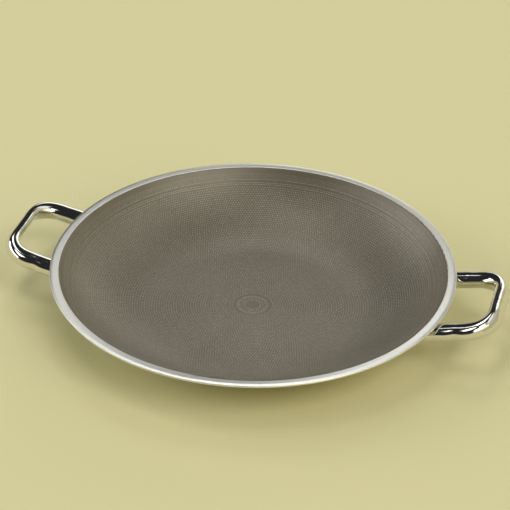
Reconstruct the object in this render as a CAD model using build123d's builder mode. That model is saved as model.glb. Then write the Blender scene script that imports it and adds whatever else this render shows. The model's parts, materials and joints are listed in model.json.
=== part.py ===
from build123d import *

import os
from math import atan2, copysign, cos, degrees, radians, sin, tan

# Shallow two-handled griddle pan, in millimetres.
# The origin is the centre of the base, +Z is up and +X points to the right handle.

# Pan body
rim_radius = 180.0
floor_radius = 82.0
dish_depth = 43.5
lip_flat_width = 4.1
lip_bend_radius = 1.0
lip_crown_radius = 18.0
lip_crown_slope = 8.0
lip_edge_radius = 0.6

# Layers of the clad sheet, from the cooking side down
inner_steel_thickness = 0.4
core_thickness = 0.6
outer_steel_thickness = 0.4

# Non-stick coating on the cooking side
coating_thickness = 0.2
coating_edge_slope = 20.0

# Loop handles: each is a flat loop whose plane rises away from the rim
leg_spacing = 84.9
leg_toe_in = 1.7
leg_root_depth = 54.0
grip_reach = 40.65
handle_bend_radius = 24.1
handle_tilt = 12.3
handle_drop = 9.1
leg_width = 18.0
leg_thickness = 12.9
grip_width = 10.2
grip_height = 16.6
grip_lean = 20.0
handle_wall = 2.0
section_squareness = 2.5
section_points = 16
handle_stations = 26

# Seats welded to the wall, which plug into the open ends of the legs
seat_thickness = 1.5
seat_margin = 3.0
spigot_setback = 6.0
spigot_clearance = 0.15

# Vent hole under each leg
vent_diameter = 2.5
vent_reach = 8.0

# Heights, layer depths and the curve of the wall that follow from the sizes above
core_depth = inner_steel_thickness
outer_steel_depth = core_depth + core_thickness
sheet_thickness = outer_steel_depth + outer_steel_thickness
seat_depth = sheet_thickness + seat_thickness
rim_height = dish_depth + sheet_thickness
bend_radius = lip_bend_radius + sheet_thickness
crown_width = lip_crown_radius * sin(radians(lip_crown_slope))
edge_width = lip_edge_radius * (1 - sin(radians(lip_crown_slope)))
wall_run = rim_radius - edge_width - crown_width - lip_flat_width - floor_radius
wall_slope = 2 * degrees(atan2(dish_depth, wall_run))
dish_radius = wall_run / sin(radians(wall_slope)) - bend_radius


def draw_dish(depth):
    """Draw the floor and the dish of the face that lies `depth` under the bare cooking face."""
    floor_level = sheet_thickness - depth
    floor = Line((0, floor_level), (floor_radius, floor_level))
    dish = JernArc(floor @ 1, (1, 0), dish_radius + depth, wall_slope)
    return floor @ 0, dish


def draw_bend(dish, depth, end_slope=0.0):
    """Draw the bend from the dish into the lip, as far as the place where its slope is `end_slope`."""
    return JernArc(dish @ 1, dish % 1, bend_radius - depth, end_slope - wall_slope)


def draw_layer_face(depth):
    """Draw a whole layer face: floor, dish, bend, flat lip and the crown that falls to the lip's edge."""
    middle, dish = draw_dish(depth)
    bend = draw_bend(dish, depth)
    flat = Line(bend @ 1, (bend @ 1) + (lip_flat_width, 0))
    crown = JernArc(flat @ 1, (1, 0), lip_crown_radius - depth, -lip_crown_slope)
    return middle, crown


def draw_fall(crown, end_radius):
    """Draw the straight fall from the end of the crown out to `end_radius`, and return it."""
    across = end_radius - (crown @ 1).X
    return Line(crown @ 1, (crown @ 1) - (-across, across * tan(radians(lip_crown_slope))))


# Coating: it stops on the bend, just short of the flat lip
with BuildPart() as nonstick_coating:
    with BuildSketch(Plane.XZ):
        with BuildLine():
            top_middle, top_dish = draw_dish(-coating_thickness)
            top_bend = draw_bend(top_dish, -coating_thickness, coating_edge_slope)
            under_middle, under_dish = draw_dish(0)
            under_bend = draw_bend(under_dish, 0, coating_edge_slope)
            Line(top_middle, under_middle)
            Line(top_bend @ 1, under_bend @ 1)
        make_face()
    revolve(axis=Axis.Z)

# Inner steel: it forms the bright lip and is turned down over the edges of the layers below
hem_inside_radius = rim_radius - inner_steel_thickness
turn_to_upright = 90 - lip_crown_slope
with BuildPart() as inner_steel_layer:
    with BuildSketch(Plane.XZ):
        with BuildLine():
            top_middle, top_crown = draw_layer_face(0)
            under_middle, under_crown = draw_layer_face(core_depth)
            hem_outside = JernArc(top_crown @ 1, top_crown % 1, lip_edge_radius, -turn_to_upright)
            hem_inside = JernArc(
                under_crown @ 1, under_crown % 1, lip_edge_radius - inner_steel_thickness, -turn_to_upright
            )
            with BuildLine(mode=Mode.PRIVATE):
                sheet_crown = draw_layer_face(sheet_thickness)[1]
                foot_inner = draw_fall(sheet_crown, hem_inside_radius) @ 1
                foot_outer = draw_fall(sheet_crown, rim_radius) @ 1
            Polyline(hem_outside @ 1, foot_outer, foot_inner, hem_inside @ 1)
            Line(top_middle, under_middle)
        make_face()
    revolve(axis=Axis.Z)

# Aluminium core, closed in by the two steel layers
with BuildPart() as aluminium_core:
    with BuildSketch(Plane.XZ):
        with BuildLine():
            top_middle, top_crown = draw_layer_face(core_depth)
            corner = JernArc(
                top_crown @ 1, top_crown % 1, lip_edge_radius - inner_steel_thickness, -turn_to_upright
            )
            under_middle, under_crown = draw_layer_face(outer_steel_depth)
            under_fall = draw_fall(under_crown, hem_inside_radius)
            Line(corner @ 1, under_fall @ 1)
            Line(top_middle, under_middle)
        make_face()
    revolve(axis=Axis.Z)

# Outer steel: the magnetic layer that stands on the hob, with its edge inside the turned-down hem
with BuildPart() as outer_steel_layer:
    with BuildSketch(Plane.XZ):
        with BuildLine():
            top_middle, top_crown = draw_layer_face(outer_steel_depth)
            top_fall = draw_fall(top_crown, hem_inside_radius)
            under_middle, under_crown = draw_layer_face(sheet_thickness)
            under_fall = draw_fall(under_crown, hem_inside_radius)
            Line(top_fall @ 1, under_fall @ 1)
            Line(top_middle, under_middle)
        make_face()
    revolve(axis=Axis.Z)


def wall_space(depth):
    """Return the solid of all that lies inside the wall face at `depth`, up to the lip."""
    with BuildPart(mode=Mode.PRIVATE) as space:
        with BuildSketch(Plane.XZ):
            with BuildLine():
                middle, dish = draw_dish(depth)
                top = Line(dish @ 1, ((dish @ 1).X, rim_height))
                Polyline(top @ 1, (0, rim_height), middle)
            make_face()
        revolve(axis=Axis.Z)
    return space.part


# The plane of the right loop: x runs outwards from the rim, y runs to the rear, z stands on the loop
tilt_cos = cos(radians(handle_tilt))
tilt_sin = sin(radians(handle_tilt))
loop_plane = Plane(
    origin=(rim_radius, 0, rim_height - handle_drop),
    x_dir=(tilt_cos, 0, tilt_sin),
    z_dir=(-tilt_sin, 0, tilt_cos),
)
toe_slope = tan(radians(leg_toe_in))
root_half_spacing = leg_spacing / 2 + leg_root_depth * toe_slope
grip_half_spacing = leg_spacing / 2 - grip_reach * toe_slope
with BuildLine(loop_plane) as loop_path:
    FilletPolyline(
        (-leg_root_depth, -root_half_spacing),
        (grip_reach, -grip_half_spacing),
        (grip_reach, grip_half_spacing),
        (-leg_root_depth, root_half_spacing),
        radius=handle_bend_radius,
    )


def section_plane(share):
    """Return the plane across the loop at `share` of its length, leaning as the grip does there."""
    along = loop_path.wire() % share
    lean = radians(grip_lean) * along.Y**2
    outward = along.cross(loop_plane.z_dir)
    across = outward * cos(lean) + loop_plane.z_dir * sin(lean)
    return Plane(origin=loop_path.wire() @ share, x_dir=across, z_dir=along)


def section(width, height):
    """Return a closed outline between an ellipse and a rectangle, with the given full sizes."""
    power = 2 / section_squareness
    turns = [radians(360 / section_points * step) for step in range(section_points)]
    across = [copysign(abs(cos(turn)) ** power, cos(turn)) * width / 2 for turn in turns]
    along = [copysign(abs(sin(turn)) ** power, sin(turn)) * height / 2 for turn in turns]
    with BuildSketch(mode=Mode.PRIVATE) as outline:
        with BuildLine():
            Spline(*zip(across, along), periodic=True)
        make_face()
    return outline.sketch


def loop_solid(inset):
    """Return the loop, lofted from the wide legs to the tall grip and `inset` smaller all round."""
    with BuildPart(mode=Mode.PRIVATE) as loop:
        for station in range(handle_stations + 1):
            plane = section_plane(station / handle_stations)
            grip_share = plane.z_dir.Y**2
            width = leg_width + (grip_width - leg_width) * grip_share
            height = leg_thickness + (grip_height - leg_thickness) * grip_share
            with BuildSketch(plane):
                add(section(width - 2 * inset, height - 2 * inset))
        loft()
    return loop.part


# Right handle: a hollow loop, cut to the face of its seats and vented under both legs
front_vent_plane = Plane(
    origin=loop_plane.from_local_coords((vent_reach, -leg_spacing / 2, 0)), z_dir=-loop_plane.z_dir
)
rear_vent_plane = Plane(
    origin=loop_plane.from_local_coords((vent_reach, leg_spacing / 2, 0)), z_dir=-loop_plane.z_dir
)
with BuildPart() as right_handle:
    add(loop_solid(0))
    add(loop_solid(handle_wall), mode=Mode.SUBTRACT)
    add(wall_space(seat_depth), mode=Mode.SUBTRACT)
    with BuildSketch(front_vent_plane, rear_vent_plane):
        Circle(vent_diameter / 2)
    extrude(amount=leg_thickness, mode=Mode.SUBTRACT)

with BuildPart() as left_handle:
    mirror(right_handle.part, about=Plane.YZ)


def handle_seat(root_share):
    """Return the seat of one right leg, whose root lies at `root_share` of the loop."""
    root = section_plane(root_share)
    outward = 1 if root_share == 0 else -1
    spigot_inset = handle_wall + spigot_clearance
    with BuildPart(mode=Mode.PRIVATE) as seat:
        with BuildSketch(Plane.XZ):
            with BuildLine():
                wall_middle, wall_dish = draw_dish(sheet_thickness)
                seat_middle, seat_dish = draw_dish(seat_depth)
                Line(wall_middle, seat_middle)
                Line(wall_dish @ 1, seat_dish @ 1)
            make_face()
        revolve(axis=Axis.Z)
        with BuildSketch(root):
            add(section(leg_width + 2 * seat_margin, leg_thickness + 2 * seat_margin))
        extrude(amount=outward * 2 * leg_root_depth, mode=Mode.INTERSECT)
        with BuildSketch(root):
            add(section(leg_width - 2 * spigot_inset, leg_thickness - 2 * spigot_inset))
        extrude(amount=outward * (leg_root_depth - spigot_setback))
        add(wall_space(sheet_thickness), mode=Mode.SUBTRACT)
    return seat.part


with BuildPart() as right_front_seat:
    add(handle_seat(0))

with BuildPart() as right_rear_seat:
    add(handle_seat(1))

with BuildPart() as left_front_seat:
    mirror(right_front_seat.part, about=Plane.YZ)

with BuildPart() as left_rear_seat:
    mirror(right_rear_seat.part, about=Plane.YZ)

pieces = {
    "nonstick_coating": nonstick_coating,
    "inner_steel_layer": inner_steel_layer,
    "aluminium_core": aluminium_core,
    "outer_steel_layer": outer_steel_layer,
    "right_handle": right_handle,
    "left_handle": left_handle,
    "right_front_seat": right_front_seat,
    "right_rear_seat": right_rear_seat,
    "left_front_seat": left_front_seat,
    "left_rear_seat": left_rear_seat,
}
os.makedirs("parts", exist_ok=True)
for name, piece in pieces.items():
    piece.part.label = name
    export_step(piece.part, f"parts/{name}.step")
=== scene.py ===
"""Looks of a shallow two-handled griddle pan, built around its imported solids. All sizes are in metres."""

import json
import logging
from dataclasses import dataclass, field
from enum import Enum
from math import asin, cos, hypot, pi, radians, sin

import bpy
from mathutils import Matrix, Vector

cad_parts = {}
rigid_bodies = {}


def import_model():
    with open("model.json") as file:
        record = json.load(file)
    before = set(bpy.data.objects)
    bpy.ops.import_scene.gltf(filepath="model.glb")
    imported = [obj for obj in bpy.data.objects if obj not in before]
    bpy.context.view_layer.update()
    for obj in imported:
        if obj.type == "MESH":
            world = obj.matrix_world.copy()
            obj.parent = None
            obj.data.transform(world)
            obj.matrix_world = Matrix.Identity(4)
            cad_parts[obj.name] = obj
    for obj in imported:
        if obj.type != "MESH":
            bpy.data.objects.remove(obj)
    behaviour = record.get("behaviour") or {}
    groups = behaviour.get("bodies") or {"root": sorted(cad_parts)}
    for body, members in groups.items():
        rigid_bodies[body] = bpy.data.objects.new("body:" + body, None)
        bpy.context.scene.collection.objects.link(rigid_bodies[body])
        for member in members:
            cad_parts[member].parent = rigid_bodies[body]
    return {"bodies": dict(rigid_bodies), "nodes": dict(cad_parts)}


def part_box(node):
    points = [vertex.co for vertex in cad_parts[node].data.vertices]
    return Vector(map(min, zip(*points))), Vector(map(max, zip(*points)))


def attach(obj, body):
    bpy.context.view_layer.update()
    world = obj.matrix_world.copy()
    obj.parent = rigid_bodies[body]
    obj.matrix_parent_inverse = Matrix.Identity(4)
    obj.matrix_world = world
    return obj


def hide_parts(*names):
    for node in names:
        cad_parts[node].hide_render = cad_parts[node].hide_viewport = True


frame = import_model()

log = logging.getLogger("griddle_pan")
MM = 0.001
NOISE_MIDDLE = (0.3, 0.7)
ROUND_TO = 5
SAME_POINT = 0.001 * MM
SMOOTH_ANGLE = 40.0
BODY = "root" if "root" in frame["bodies"] else next(iter(frame["bodies"]))


class Slot(Enum):
    """Material slots of the record. Nothing in this script reads them."""

    COATING = "coating"
    LIP_STEEL = "lip_steel"


def linear(red: int, green: int, blue: int) -> tuple[float, float, float, float]:
    """Turn an 8-bit display colour into a linear colour with full alpha.

    Args:
        red: Red, from 0 to 255.
        green: Green, from 0 to 255.
        blue: Blue, from 0 to 255.

    Returns:
        The linear colour as red, green, blue and alpha.
    """
    channels = [value / 255 for value in (red, green, blue)]
    light = [c / 12.92 if c <= 0.04045 else ((c + 0.055) / 1.055) ** 2.4 for c in channels]
    return (*light, 1.0)


def deselect_all() -> None:
    """Deselect every object, so that the next operator acts on new ones alone."""
    bpy.ops.object.select_all(action="DESELECT")


def edit(piece: bpy.types.Object) -> None:
    """Open one piece alone in edit mode, with all of it selected."""
    deselect_all()
    piece.select_set(True)
    bpy.context.view_layer.objects.active = piece
    bpy.ops.object.mode_set(mode="EDIT")
    bpy.ops.mesh.select_mode(type="VERT")
    bpy.ops.mesh.select_all(action="SELECT")


def close_edit() -> None:
    """Leave edit mode."""
    bpy.ops.object.mode_set(mode="OBJECT")


def hand_over(piece: bpy.types.Object, name: str, material: bpy.types.Material) -> None:
    """Name a finished piece, dress it and let it ride on the pan.

    Args:
        piece: The finished piece.
        name: Its name.
        material: What it is dressed in.
    """
    piece.name = name
    piece.data.name = name
    piece.data.materials.clear()
    piece.data.materials.append(material)
    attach(piece, BODY)
    log.info("made %s with %d faces", name, len(piece.data.polygons))


class Shader:
    """A small helper that builds one node material around a Principled shader."""

    def __init__(self, name: str) -> None:
        """Start an empty material.

        Args:
            name: The material's name.
        """
        self.material = bpy.data.materials.new(name)
        self.material.use_nodes = True
        self.nodes = self.material.node_tree.nodes
        self.links = self.material.node_tree.links
        self.surface = self.nodes["Principled BSDF"]

    def add(self, kind: str, **settings: object) -> bpy.types.Node:
        """Add a node and set its properties.

        Args:
            kind: The node's type name, without its ShaderNode prefix.
            **settings: Properties of the node.

        Returns:
            The new node.
        """
        node = self.nodes.new("ShaderNode" + kind)
        for key, value in settings.items():
            setattr(node, key, value)
        return node

    def link(self, source: bpy.types.NodeSocket, target: bpy.types.NodeSocket) -> None:
        """Join an output socket to an input socket."""
        self.links.new(source, target)

    def place(self) -> bpy.types.NodeSocket:
        """Return the object coordinates, in metres of the shared frame."""
        return self.add("TexCoord").outputs["Object"]

    def noise(self, vector: bpy.types.NodeSocket, scale: float, detail: float) -> bpy.types.NodeSocket:
        """Add a noise texture.

        Args:
            vector: Where the noise is read.
            scale: Noise cells in a metre.
            detail: Octaves of detail.

        Returns:
            The noise's factor.
        """
        node = self.add("TexNoise")
        node.inputs["Scale"].default_value = scale
        node.inputs["Detail"].default_value = detail
        self.link(vector, node.inputs["Vector"])
        return node.outputs["Fac"]

    def stretch(
        self, vector: bpy.types.NodeSocket, scale: tuple[float, float, float]
    ) -> bpy.types.NodeSocket:
        """Scale a vector along its three axes."""
        node = self.add("Mapping")
        node.inputs["Scale"].default_value = scale
        self.link(vector, node.inputs["Vector"])
        return node.outputs["Vector"]

    def polar(self, vector: bpy.types.NodeSocket) -> bpy.types.NodeSocket:
        """Return the distance from the pan's axis, the height and zero as a vector.

        A texture that reads it is the same all the way round, as a turned finish is.
        """
        parts = self.add("SeparateXYZ")
        self.link(vector, parts.inputs["Vector"])
        flat = self.add("CombineXYZ")
        self.link(parts.outputs["X"], flat.inputs["X"])
        self.link(parts.outputs["Y"], flat.inputs["Y"])
        length = self.add("VectorMath", operation="LENGTH")
        self.link(flat.outputs["Vector"], length.inputs[0])
        ring = self.add("CombineXYZ")
        self.link(length.outputs["Value"], ring.inputs["X"])
        self.link(parts.outputs["Z"], ring.inputs["Y"])
        return ring.outputs["Vector"]

    def ramp(self, factor: bpy.types.NodeSocket, low: float, high: float) -> bpy.types.NodeSocket:
        """Map a factor from the middle of a noise to the range from low to high."""
        node = self.add("MapRange")
        node.inputs["From Min"].default_value = NOISE_MIDDLE[0]
        node.inputs["From Max"].default_value = NOISE_MIDDLE[1]
        node.inputs["To Min"].default_value = low
        node.inputs["To Max"].default_value = high
        self.link(factor, node.inputs["Value"])
        return node.outputs["Result"]

    def blend(
        self, factor: bpy.types.NodeSocket, first: tuple[float, ...], second: tuple[float, ...]
    ) -> bpy.types.NodeSocket:
        """Blend two colours by a factor."""
        node = self.add("Mix", data_type="RGBA")
        node.inputs["A"].default_value = first
        node.inputs["B"].default_value = second
        self.link(factor, node.inputs["Factor"])
        return node.outputs["Result"]

    def bump(self, height: bpy.types.NodeSocket, strength: float, distance: float) -> None:
        """Roughen the surface by a height.

        Args:
            height: The height's factor.
            strength: How much of the bump is used.
            distance: The height of a full step.
        """
        node = self.add("Bump")
        node.inputs["Strength"].default_value = strength
        node.inputs["Distance"].default_value = distance
        self.link(height, node.inputs["Height"])
        self.link(node.outputs["Normal"], self.surface.inputs["Normal"])

    def turned(self, amount: float) -> None:
        """Stretch highlights across the circles round the pan's axis, as on turned metal."""
        tangent = self.add("Tangent", direction_type="RADIAL", axis="Z")
        self.link(tangent.outputs["Tangent"], self.surface.inputs["Tangent"])
        self.surface.inputs["Anisotropic"].default_value = amount


@dataclass(frozen=True)
class CoatingFinish:
    """Dark satin non-stick coating with fine grain.

    Attributes:
        name: The material's name.
        dark: Its colour where the clouds are darkest.
        light: Its colour where the clouds are lightest.
        grain_cells: Cells of the grain in a metre.
        cloud_cells: Cells of the clouds in a metre.
        detail: Octaves of detail of both.
        roughness: Roughness from the grain's low to its high parts.
        metallic: How metallic the coating is.
        bump: Strength and height of the grain.
    """

    name: str = "nonstick_coating"
    dark: tuple[float, ...] = linear(105, 98, 84)
    light: tuple[float, ...] = linear(117, 110, 96)
    grain_cells: float = 900.0
    cloud_cells: float = 14.0
    detail: float = 3.0
    roughness: tuple[float, float] = (0.36, 0.46)
    metallic: float = 0.25
    bump: tuple[float, float] = (0.35, 0.00008)

    def build(self) -> bpy.types.Material:
        """Build the coating's material."""
        shader = Shader(self.name)
        place = shader.place()
        grain = shader.noise(place, self.grain_cells, self.detail)
        clouds = shader.noise(place, self.cloud_cells, self.detail)
        colour = shader.blend(shader.ramp(clouds, 0.0, 1.0), self.dark, self.light)
        shader.link(colour, shader.surface.inputs["Base Color"])
        shader.link(shader.ramp(grain, *self.roughness), shader.surface.inputs["Roughness"])
        shader.surface.inputs["Metallic"].default_value = self.metallic
        shader.bump(grain, *self.bump)
        return shader.material


@dataclass(frozen=True)
class PipSteel:
    """Bare steel of the raised pips, worn satin where the coating was ground off their tops.

    Attributes:
        name: The material's name.
        dark: Its colour where it is least worn.
        light: Its colour where it is most worn.
        wear_cells: Cells of the wear in a metre.
        cloud_cells: Cells of the clouds in a metre.
        detail: Octaves of detail of both.
        roughness: Roughness from the clouds' low to their high parts.
    """

    name: str = "bare_pip_steel"
    dark: tuple[float, ...] = (0.24, 0.23, 0.20, 1.0)
    light: tuple[float, ...] = (0.40, 0.38, 0.34, 1.0)
    wear_cells: float = 420.0
    cloud_cells: float = 16.0
    detail: float = 2.0
    roughness: tuple[float, float] = (0.46, 0.58)

    def build(self) -> bpy.types.Material:
        """Build the pips' material."""
        shader = Shader(self.name)
        place = shader.place()
        wear = shader.noise(place, self.wear_cells, self.detail)
        clouds = shader.noise(place, self.cloud_cells, self.detail)
        colour = shader.blend(shader.ramp(wear, 0.0, 1.0), self.dark, self.light)
        shader.link(colour, shader.surface.inputs["Base Color"])
        shader.surface.inputs["Metallic"].default_value = 1.0
        shader.link(shader.ramp(clouds, *self.roughness), shader.surface.inputs["Roughness"])
        return shader.material


@dataclass(frozen=True)
class SatinSteel:
    """Stainless steel with a turned satin finish.

    Attributes:
        name: The material's name.
        colour: Its colour.
        roughness: Roughness from the grooves' low to their high parts.
        grooves: Cells of the grooves in a metre.
        detail: Octaves of detail of the grooves.
        bump: Strength and height of the grooves.
        stretch: How much the highlights are stretched across the grooves.
    """

    name: str
    colour: tuple[float, ...] = (0.72, 0.71, 0.68, 1.0)
    roughness: tuple[float, float] = (0.26, 0.38)
    grooves: float = 9000.0
    detail: float = 2.0
    bump: tuple[float, float] = (0.12, 0.00003)
    stretch: float = 0.6

    def build(self) -> bpy.types.Material:
        """Build the satin steel's material."""
        shader = Shader(self.name)
        place = shader.place()
        rings = shader.noise(shader.polar(place), self.grooves, self.detail)
        shader.surface.inputs["Base Color"].default_value = self.colour
        shader.surface.inputs["Metallic"].default_value = 1.0
        shader.link(shader.ramp(rings, *self.roughness), shader.surface.inputs["Roughness"])
        shader.bump(rings, *self.bump)
        shader.turned(self.stretch)
        return shader.material


@dataclass(frozen=True)
class MirrorSteel:
    """Polished stainless steel with a faint waviness from hand polishing.

    Attributes:
        name: The material's name.
        colour: Its colour.
        wave_cells: Cells of the waviness in a metre.
        wave_detail: Octaves of detail of the waviness.
        smear_cells: Cells of the polishing smears in a metre.
        smear_detail: Octaves of detail of the smears.
        roughness: Roughness from the smears' low to their high parts.
        bump: Strength and height of the waviness.
    """

    name: str = "mirror_polished_steel"
    colour: tuple[float, ...] = (0.78, 0.77, 0.74, 1.0)
    wave_cells: float = 90.0
    wave_detail: float = 2.0
    smear_cells: float = 400.0
    smear_detail: float = 3.0
    roughness: tuple[float, float] = (0.03, 0.08)
    bump: tuple[float, float] = (0.10, 0.0004)

    def build(self) -> bpy.types.Material:
        """Build the mirror steel's material."""
        shader = Shader(self.name)
        place = shader.place()
        waves = shader.noise(place, self.wave_cells, self.wave_detail)
        smears = shader.noise(place, self.smear_cells, self.smear_detail)
        shader.surface.inputs["Base Color"].default_value = self.colour
        shader.surface.inputs["Metallic"].default_value = 1.0
        shader.link(shader.ramp(smears, *self.roughness), shader.surface.inputs["Roughness"])
        shader.bump(waves, *self.bump)
        return shader.material


@dataclass(frozen=True)
class PlainMetal:
    """Plain rolled or pressed metal for parts that are mostly hidden.

    Attributes:
        name: The material's name.
        colour: Its colour.
        roughness: Roughness from the grain's low to its high parts.
        grain_cells: Cells of the grain in a metre.
        detail: Octaves of detail of the grain.
        rolled: How much finer the grain is along each axis.
        bump: Strength and height of the grain.
    """

    name: str
    colour: tuple[float, ...]
    roughness: tuple[float, float] = (0.3, 0.45)
    grain_cells: float = 300.0
    detail: float = 3.0
    rolled: tuple[float, float, float] = (1.0, 12.0, 1.0)
    bump: tuple[float, float] = (0.1, 0.00005)

    def build(self) -> bpy.types.Material:
        """Build the plain metal's material."""
        shader = Shader(self.name)
        grain = shader.noise(shader.stretch(shader.place(), self.rolled), self.grain_cells, self.detail)
        shader.surface.inputs["Base Color"].default_value = self.colour
        shader.surface.inputs["Metallic"].default_value = 1.0
        shader.link(shader.ramp(grain, *self.roughness), shader.surface.inputs["Roughness"])
        shader.bump(grain, *self.bump)
        return shader.material


def dress(node: str, material: bpy.types.Material) -> None:
    """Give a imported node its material.

    Args:
        node: The node's name.
        material: What it is dressed in.
    """
    piece = frame["nodes"][node]
    if not piece.material_slots:
        piece.data.materials.append(material)
    for holder in piece.material_slots:
        holder.material = material
    log.info("dressed %s in %s", node, material.name)


@dataclass(frozen=True)
class Dish:
    """The curve of the coated face: a flat floor, an arc up the wall and the bend at its edge.

    Attributes:
        floor_level: Height of the coated floor.
        floor_radius: Radius where the floor ends.
        arc_radius: Radius of the wall's arc, seen in section.
        bend: Radius and height of the last points, where the coating bends towards the lip.
    """

    floor_level: float
    floor_radius: float
    arc_radius: float
    bend: tuple[tuple[float, float], ...]

    @classmethod
    def read(cls, node: str, gauge: float, bend_start: float) -> "Dish":
        """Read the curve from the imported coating.

        Args:
            node: The coating's node.
            gauge: A radius well up the wall, where the arc is measured.
            bend_start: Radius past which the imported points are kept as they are.

        Returns:
            The curve.
        """
        facing_up = 0.1
        same_level = 0.01 * MM
        points = frame["nodes"][node].data.vertices
        upper = [point.co for point in points if point.normal.z > facing_up]
        face = sorted({(round(hypot(co.x, co.y), ROUND_TO), round(co.z, ROUND_TO)) for co in upper})
        level = face[0][1]
        flat = max(radius for radius, height in face if height < level + same_level)
        radius, height = min(face, key=lambda point: abs(point[0] - gauge))
        run = radius - flat
        rise = height - level
        bend = tuple(point for point in face if point[0] > bend_start)
        return cls(level, flat, (run**2 + rise**2) / (2 * rise), bend)

    def slope(self, radius: float) -> float:
        """Return the slope of the face at a radius, in radians."""
        return asin(max(0.0, radius - self.floor_radius) / self.arc_radius)

    def height(self, radius: float) -> float:
        """Return the height of the face at a radius."""
        return self.floor_level + self.arc_radius * (1.0 - cos(self.slope(radius)))

    def lifted(self, radius: float, lift: float) -> tuple[float, float]:
        """Return the radius and height of a point that stands off the face at a radius."""
        slope = self.slope(radius)
        return radius - lift * sin(slope), self.height(radius) + lift * cos(slope)


def turn(rings: list[tuple[float, float]], steps: int, closed: bool) -> bpy.types.Object:
    """Turn a face about the pan's axis, extruded ring by ring.

    Args:
        rings: Radius and height of each ring, from the first to the last.
        steps: Corners of a ring.
        closed: Whether the last ring is the first again, as on a bead. If not, the first ring is a disc.

    Returns:
        The turned piece.
    """
    deselect_all()
    radius, height = rings[0]
    fill = "NOTHING" if closed else "TRIFAN"
    centre = (0.0, 0.0, height)
    bpy.ops.mesh.primitive_circle_add(vertices=steps, radius=radius, fill_type=fill, location=centre)
    piece = bpy.context.object
    bpy.ops.object.transform_apply(location=True, rotation=True, scale=True)
    edit(piece)
    if not closed:
        bpy.ops.mesh.region_to_loop()
    bpy.ops.mesh.select_mode(type="EDGE")
    for next_radius, next_height in rings[1:]:
        bpy.ops.mesh.extrude_edges_move()
        share = next_radius / radius
        bpy.ops.transform.resize(value=(share, share, 1.0), center_override=(0.0, 0.0, 0.0))
        bpy.ops.transform.translate(value=(0.0, 0.0, next_height - height))
        radius, height = next_radius, next_height
    bpy.ops.mesh.select_all(action="SELECT")
    bpy.ops.mesh.remove_doubles(threshold=SAME_POINT)
    bpy.ops.mesh.normals_make_consistent(inside=False)
    close_edit()
    return piece


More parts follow.
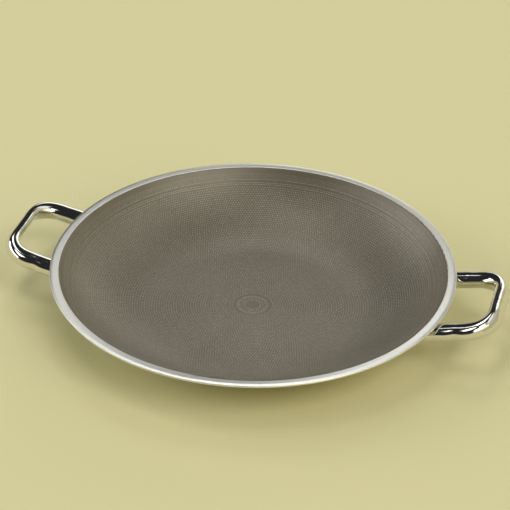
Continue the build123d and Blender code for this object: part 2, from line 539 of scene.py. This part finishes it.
@dataclass
class CookingFace:
    """The coated face with its turned rings, raised steel pips and the dashes under the lip.

    Attributes:
        thickness: Thickness of the coating.
        kept_thickness: Share of that thickness that is modelled, so that the back stays clear of the steel.
        steps: Corners of each turned ring.
        wall_steps: Rings between the floor and the bend.
        gauge_radius: Radius well up the wall, where the arc is measured.
        bend_start: Radius where the bend towards the lip begins.
        disc_radius: Radius of the first ring, the disc in the middle.
        floor_rings: Radii of the plain rings of the floor.
        centre_radius: Radius of the fine bead round the middle.
        centre_groove: Radius of the shallow groove round that bead.
        groove_size: Half of the groove's width, and its depth.
        ring_radii: Radii of the two fine beads high on the wall.
        ring_size: Full width and height of those beads.
        centre_size: Full width and height of the centre's bead.
        bead_corners: Corners of a bead, seen in section.
        bead_gap: How far a row of pips keeps from a bead.
        pip_pitch: Distance between rows of pips, and between the pips of a row.
        pip_size: Radius of a pip's foot, of its top, and its height.
        pip_corners: Corners of a pip.
        pip_sunk: How deep a pip's foot is sunk.
        crown_size: How far the crown's edge is set in, and how far it rises.
        pip_bands: First and last radius of each piece's rows, by name.
        dash_rows: First radius, row distance and number of rows of the dashes.
        dash_pitch: Distance between the dashes of a row.
        dash_stretch: Length and width of a dash as shares of a pip's.
        row_fold: Each row's count is a multiple of this, so that near rows line up.
    """

    thickness: float = 0.2 * MM
    kept_thickness: float = 0.98
    steps: int = 288
    wall_steps: int = 48
    gauge_radius: float = 150.0 * MM
    bend_start: float = 170.2 * MM
    disc_radius: float = 4.0 * MM
    floor_rings: tuple[float, ...] = (30.0 * MM, 40.0 * MM, 50.0 * MM, 60.0 * MM, 70.0 * MM)
    centre_radius: float = 12.6 * MM
    centre_groove: float = 16.0 * MM
    groove_size: tuple[float, float] = (0.6 * MM, 0.05 * MM)
    ring_radii: tuple[float, ...] = (160.2 * MM, 163.8 * MM)
    ring_size: tuple[float, float] = (0.5 * MM, 0.12 * MM)
    centre_size: tuple[float, float] = (0.5 * MM, 0.04 * MM)
    bead_corners: int = 8
    bead_gap: float = 0.9 * MM
    pip_pitch: tuple[float, float] = (2.2 * MM, 2.4 * MM)
    pip_size: tuple[float, float, float] = (0.80 * MM, 0.58 * MM, 0.11 * MM)
    pip_corners: int = 6
    pip_sunk: float = 0.04 * MM
    crown_size: tuple[float, float] = (0.16 * MM, 0.03 * MM)
    pip_bands: dict[str, tuple[float, float]] = field(
        default_factory=lambda: {
            "floor_pips": (7.2 * MM, 82.0 * MM),
            "lower_wall_pips": (84.2 * MM, 119.0 * MM),
            "middle_wall_pips": (120.6 * MM, 143.0 * MM),
            "upper_wall_pips": (144.2 * MM, 162.4 * MM),
        }
    )
    dash_rows: tuple[float, float, int] = (164.75 * MM, 1.5 * MM, 4)
    dash_pitch: float = 2.2 * MM
    dash_stretch: tuple[float, float] = (0.85, 0.5)
    row_fold: int = 24

    def coating(self, dish: Dish) -> bpy.types.Object:
        """Turn the coating's face and give it its thickness.

        Args:
            dish: The curve of the face.

        Returns:
            The coating.
        """
        half, depth = self.groove_size
        rings = [(radius, dish.floor_level) for radius in (self.disc_radius, self.centre_radius)]
        groove = ((-half, 0.0), (0.0, -depth), (half, 0.0))
        rings += [dish.lifted(self.centre_groove + offset, lift) for offset, lift in groove]
        rings += [(radius, dish.floor_level) for radius in self.floor_rings]
        run = self.bend_start - dish.floor_radius
        for step in range(self.wall_steps + 1):
            rings.append(dish.lifted(dish.floor_radius + run * step / self.wall_steps, 0.0))
        rings += dish.bend
        piece = turn(rings, self.steps, closed=False)
        shell = piece.modifiers.new("thickness", "SOLIDIFY")
        shell.thickness = self.thickness * self.kept_thickness
        shell.offset = -1.0
        bpy.ops.object.modifier_apply(modifier=shell.name)
        bpy.ops.object.shade_smooth_by_angle(angle=radians(SMOOTH_ANGLE))
        return piece

    def bead(self, dish: Dish, radius: float, size: tuple[float, float]) -> bpy.types.Object:
        """Turn one fine bead that stands on the face.

        Args:
            dish: The curve of the face.
            radius: The bead's radius round the pan.
            size: Its full width, and how far it stands off the face.

        Returns:
            The bead.
        """
        width, rise = size
        rings = []
        for corner in range(self.bead_corners + 1):
            angle = 2 * pi * corner / self.bead_corners
            rings.append(dish.lifted(radius + width / 2 * cos(angle), rise * sin(angle)))
        piece = turn(rings, self.steps, closed=True)
        bpy.ops.object.shade_smooth()
        return piece

    def pip(self, length_share: float = 1.0, width_share: float = 1.0) -> bpy.types.Object:
        """Model one low six-sided pip with a crowned top, standing at the origin.

        Args:
            length_share: Its length up the wall as a share of a round pip's.
            width_share: Its width along the row as a share of a round pip's.

        Returns:
            The pip.
        """
        foot, top, rise = self.pip_size
        inset, crown = self.crown_size
        facing_up = 0.9
        deselect_all()
        bpy.ops.mesh.primitive_cone_add(
            vertices=self.pip_corners,
            radius1=foot,
            radius2=top,
            depth=rise + self.pip_sunk,
            location=(0.0, 0.0, (rise - self.pip_sunk) / 2),
        )
        piece = bpy.context.object
        piece.scale = (length_share, width_share, 1.0)
        bpy.ops.object.transform_apply(location=True, rotation=True, scale=True)
        edit(piece)
        bpy.ops.mesh.select_all(action="DESELECT")
        close_edit()
        for face in piece.data.polygons:
            face.select = face.normal.z > facing_up
        bpy.ops.object.mode_set(mode="EDIT")
        bpy.ops.mesh.select_mode(type="FACE")
        bpy.ops.mesh.inset(thickness=inset)
        bpy.ops.transform.translate(value=(0.0, 0.0, crown))
        close_edit()
        return piece

    def row(
        self, pattern: bpy.types.Object, dish: Dish, radius: float, count: int, start: float
    ) -> bpy.types.Object:
        """Copy a pip to a radius of the face and repeat it all the way round.

        Args:
            pattern: The pip at the origin.
            dish: The curve of the face.
            radius: The row's radius.
            count: Pips in the row.
            start: Turn of the first pip, in radians.

        Returns:
            The row.
        """
        piece = pattern.copy()
        piece.data = pattern.data.copy()
        bpy.context.scene.collection.objects.link(piece)
        piece.rotation_euler = (0.0, -dish.slope(radius), start)
        piece.location = (radius * cos(start), radius * sin(start), dish.height(radius))
        deselect_all()
        piece.select_set(True)
        bpy.context.view_layer.objects.active = piece
        bpy.ops.object.transform_apply(location=True, rotation=True, scale=True)
        edit(piece)
        bpy.ops.mesh.spin(
            steps=count - 1,
            dupli=True,
            angle=2 * pi * (count - 1) / count,
            center=(0.0, 0.0, 0.0),
            axis=(0.0, 0.0, 1.0),
        )
        close_edit()
        return piece

    def rows(
        self, pattern: bpy.types.Object, dish: Dish, radii: list[float], pitch: float
    ) -> bpy.types.Object:
        """Lay staggered rows of a pattern and join them into one piece.

        Args:
            pattern: The pip at the origin.
            dish: The curve of the face.
            radii: Radius of each row.
            pitch: Distance between the pips of a row.

        Returns:
            All rows as one piece.
        """
        made = []
        for index, radius in enumerate(radii):
            count = self.row_fold * max(1, round(2 * pi * radius / pitch / self.row_fold))
            start = pi / count if index % 2 else 0.0
            made.append(self.row(pattern, dish, radius, count, start))
        deselect_all()
        for piece in made:
            piece.select_set(True)
        bpy.context.view_layer.objects.active = made[0]
        bpy.ops.object.join()
        return made[0]

    def radii(self, dish: Dish, first: float, last: float, pitch: float) -> list[float]:
        """Return row radii from first to last, evenly spaced along the face and clear of the beads."""
        found = [first]
        while found[-1] + pitch * cos(dish.slope(found[-1])) <= last:
            found.append(found[-1] + pitch * cos(dish.slope(found[-1])))
        beads = (self.centre_radius, self.centre_groove, *self.ring_radii)
        return [radius for radius in found if min(abs(radius - bead) for bead in beads) > self.bead_gap]

    def build(self) -> None:
        """Build and dress every piece of the cooking face."""
        dish = Dish.read("nonstick_coating", self.gauge_radius, self.bend_start)
        bare_steel = PipSteel().build()
        coating = self.coating(dish)
        hand_over(coating, "cooking_face", CoatingFinish().build())
        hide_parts("nonstick_coating")
        pip = self.pip()
        for name, (first, last) in self.pip_bands.items():
            radii = self.radii(dish, first, last, self.pip_pitch[0])
            hand_over(self.rows(pip, dish, radii, self.pip_pitch[1]), name, bare_steel)
        dash = self.pip(*self.dash_stretch)
        first, gap, count = self.dash_rows
        last = first + gap * count
        radii = self.radii(dish, first, last, gap)[:count]
        hand_over(self.rows(dash, dish, radii, self.dash_pitch), "rim_dashes", bare_steel)
        for pattern in (pip, dash):
            bpy.data.objects.remove(pattern)
        for number, radius in enumerate(self.ring_radii, start=1):
            ring = self.bead(dish, radius, self.ring_size)
            hand_over(ring, f"wall_ring_{number}", bare_steel)
        centre = self.bead(dish, self.centre_radius, self.centre_size)
        hand_over(centre, "centre_ring", bare_steel)


@dataclass
class PanBody:
    """The clad sheet's three metal layers.

    Attributes:
        lip_colour: Colour of the inner layer, which makes the lip.
        core_colour: Colour of the aluminium.
        outer_roughness: Range of the outer layer's roughness.
    """

    lip_colour: tuple[float, ...] = (0.82, 0.81, 0.78, 1.0)
    core_colour: tuple[float, ...] = (0.8, 0.8, 0.81, 1.0)
    outer_roughness: tuple[float, float] = (0.16, 0.26)

    def dress(self) -> None:
        """Dress the three layers."""
        dress("inner_steel_layer", SatinSteel("satin_lip_steel", colour=self.lip_colour).build())
        dress("aluminium_core", PlainMetal("rolled_aluminium", colour=self.core_colour).build())
        dress("outer_steel_layer", SatinSteel("satin_outer_steel", roughness=self.outer_roughness).build())


@dataclass
class Handles:
    """Both loop handles and their four seats.

    Attributes:
        seat_colour: Colour of the pressed seats.
    """

    seat_colour: tuple[float, ...] = (0.66, 0.65, 0.63, 1.0)

    def dress(self) -> None:
        """Dress the handles and the seats."""
        mirror = MirrorSteel().build()
        pressed = PlainMetal("pressed_seat_steel", colour=self.seat_colour).build()
        for side in ("right", "left"):
            dress(f"{side}_handle", mirror)
            for end in ("front", "rear"):
                dress(f"{side}_{end}_seat", pressed)


@dataclass(frozen=True)
class Panel:
    """One soft-edged glowing wall or ceiling of the studio, as seen from the pan.

    Attributes:
        azimuth: Its middle, in degrees from the back towards the right.
        elevation: Its middle's height as an angle in degrees.
        half_width: Half of its width in degrees.
        half_height: Half of its height in degrees.
        soft: Degrees over which its edge fades.
        colour: Its light.
    """

    azimuth: float
    elevation: float
    half_width: float
    half_height: float
    soft: float
    colour: tuple[float, float, float]


@dataclass
class Studio:
    """The pale floor, the glowing panels round it and the camera.

    Attributes:
        panels: The panels. Where two overlap, the later one covers the earlier.
        dark_room: Light of the room between the panels.
        floor_colour: Colour of the floor.
        floor_half: Half of the floor's side.
        floor_finish: Roughness of the floor, and how strongly it glints.
        camera_distance: Distance of the camera from the middle of the rim.
        camera_elevation: Its height as an angle in degrees.
        camera_azimuth: Its turn from the front towards the right, in degrees.
        camera_roll: How far it is rolled, in degrees.
        camera_reach: How far it sees.
        focal_pixels: Its focal length in pixels.
        image_pixels: Width of the picture in pixels.
        shift_pixels: How far the picture is shifted, in pixels.
        sensor: Width of the sensor in millimetres.
    """

    panels: tuple[Panel, ...] = (
        Panel(0.0, 0.0, 200.0, 12.0, 4.0, (0.52, 0.46, 0.28)),
        Panel(-100.0, 24.0, 36.0, 12.0, 4.0, (2.95, 3.02, 2.95)),
        Panel(8.0, 19.0, 24.0, 9.0, 4.0, (1.60, 1.59, 1.46)),
        Panel(62.0, 24.0, 28.0, 12.0, 4.0, (0.58, 0.57, 0.46)),
        Panel(120.0, 24.0, 30.0, 12.0, 4.0, (1.50, 1.40, 0.85)),
        Panel(55.0, 48.0, 32.0, 11.0, 4.0, (1.00, 1.00, 0.98)),
        Panel(126.0, 48.0, 29.0, 12.0, 4.0, (4.20, 4.10, 3.85)),
        Panel(-20.0, 53.0, 12.0, 11.0, 3.0, (2.90, 2.90, 2.82)),
        Panel(-90.0, 76.0, 40.0, 8.0, 4.0, (3.40, 3.38, 3.15)),
        Panel(95.0, 74.0, 32.0, 8.0, 4.0, (1.80, 1.77, 1.62)),
    )
    dark_room: tuple[float, ...] = (0.022, 0.023, 0.025, 1.0)
    floor_colour: tuple[float, ...] = linear(222, 216, 170)
    floor_half: float = 6.0
    floor_finish: tuple[float, float] = (0.9, 0.1)
    camera_distance: float = 1.620
    camera_elevation: float = 33.06
    camera_azimuth: float = 15.15
    camera_roll: float = 0.83
    camera_reach: float = 50.0
    focal_pixels: float = 1825.5
    image_pixels: float = 510.0
    shift_pixels: tuple[float, float] = (1.78, 9.31)
    sensor: float = 36.0

    def floor(self) -> None:
        """Lay the floor."""
        deselect_all()
        bpy.ops.mesh.primitive_plane_add(size=2 * self.floor_half, location=(0.0, 0.0, 0.0))
        plane = bpy.context.object
        plane.name = "studio_floor"
        roughness, glint = self.floor_finish
        shader = Shader("pale_paper")
        shader.surface.inputs["Base Color"].default_value = self.floor_colour
        shader.surface.inputs["Roughness"].default_value = roughness
        shader.surface.inputs["Specular IOR Level"].default_value = glint
        plane.data.materials.append(shader.material)

    def sky(self, nodes: bpy.types.Nodes, links: bpy.types.NodeLinks) -> bpy.types.NodeSocket:
        """Paint the panels over the dark room.

        Args:
            nodes: The world's nodes.
            links: Their links.

        Returns:
            The colour seen in each direction.
        """

        def number(
            operation: str, first: object, second: object = 0.0, third: object = 0.0
        ) -> bpy.types.NodeSocket:
            """Add one sum of sockets or numbers."""
            node = nodes.new("ShaderNodeMath")
            node.operation = operation
            for socket, value in zip(node.inputs, (first, second, third)):
                if isinstance(value, bpy.types.NodeSocket):
                    links.new(value, socket)
                else:
                    socket.default_value = value
            return node.outputs[0]

        def fade(distance: bpy.types.NodeSocket, half: float, soft: float) -> bpy.types.NodeSocket:
            """Fade from one inside a half size to zero outside it."""
            node = nodes.new("ShaderNodeMapRange")
            node.interpolation_type = "SMOOTHSTEP"
            node.inputs["From Min"].default_value = radians(half - soft)
            node.inputs["From Max"].default_value = radians(half + soft)
            node.inputs["To Min"].default_value = 1.0
            node.inputs["To Max"].default_value = 0.0
            links.new(distance, node.inputs["Value"])
            return node.outputs["Result"]

        towards = nodes.new("ShaderNodeTexCoord").outputs["Generated"]
        parts = nodes.new("ShaderNodeSeparateXYZ")
        links.new(towards, parts.inputs["Vector"])
        azimuth = number("ARCTAN2", parts.outputs["X"], parts.outputs["Y"])
        elevation = number("ARCSINE", parts.outputs["Z"])
        colour = None
        for panel in self.panels:
            across = number("WRAP", number("SUBTRACT", azimuth, radians(panel.azimuth)), pi, -pi)
            above = number("SUBTRACT", elevation, radians(panel.elevation))
            width = fade(number("ABSOLUTE", across), panel.half_width, panel.soft)
            height = fade(number("ABSOLUTE", above), panel.half_height, panel.soft)
            layer = nodes.new("ShaderNodeMix")
            layer.data_type = "RGBA"
            links.new(number("MULTIPLY", width, height), layer.inputs["Factor"])
            if colour is None:
                layer.inputs["A"].default_value = self.dark_room
            else:
                links.new(colour, layer.inputs["A"])
            layer.inputs["B"].default_value = (*panel.colour, 1.0)
            colour = layer.outputs["Result"]
        return colour

    def world(self) -> None:
        """Set the dim room with its soft panels."""
        world = bpy.data.worlds.new("studio")
        world.use_nodes = True
        tree = world.node_tree
        tree.links.new(self.sky(tree.nodes, tree.links), tree.nodes["Background"].inputs["Color"])
        bpy.context.scene.world = world

    def camera(self) -> None:
        """Set the camera at the photograph's angle."""
        rim_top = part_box("inner_steel_layer")[1][2]
        rise = radians(self.camera_elevation)
        turn = radians(self.camera_azimuth)
        roll = radians(self.camera_roll)
        back = Vector((sin(turn) * cos(rise), -cos(turn) * cos(rise), sin(rise)))
        level = Vector((cos(turn), sin(turn), 0.0))
        upright = back.cross(level)
        across = level * cos(roll) + upright * sin(roll)
        up = upright * cos(roll) - level * sin(roll)
        lens = bpy.data.cameras.new("camera")
        lens.sensor_width = self.sensor
        lens.lens = self.focal_pixels / self.image_pixels * self.sensor
        lens.shift_x = self.shift_pixels[0] / self.image_pixels
        lens.shift_y = self.shift_pixels[1] / self.image_pixels
        lens.clip_end = self.camera_reach
        holder = bpy.data.objects.new("camera", lens)
        bpy.context.scene.collection.objects.link(holder)
        turn_to = Matrix((across, up, back)).transposed().to_4x4()
        stand = Vector((0.0, 0.0, rim_top)) + back * self.camera_distance
        holder.matrix_world = Matrix.Translation(stand) @ turn_to
        bpy.context.scene.camera = holder
        bpy.context.scene.view_settings.view_transform = "Standard"

    def build(self) -> None:
        """Build the whole studio."""
        self.floor()
        self.world()
        self.camera()


def main() -> None:
    """Build every sub-assembly in order."""
    logging.basicConfig(level=logging.INFO, format="%(name)s: %(message)s")
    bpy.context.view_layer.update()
    PanBody().dress()
    CookingFace().build()
    Handles().dress()
    Studio().build()


if __name__ == "__main__":
    main()
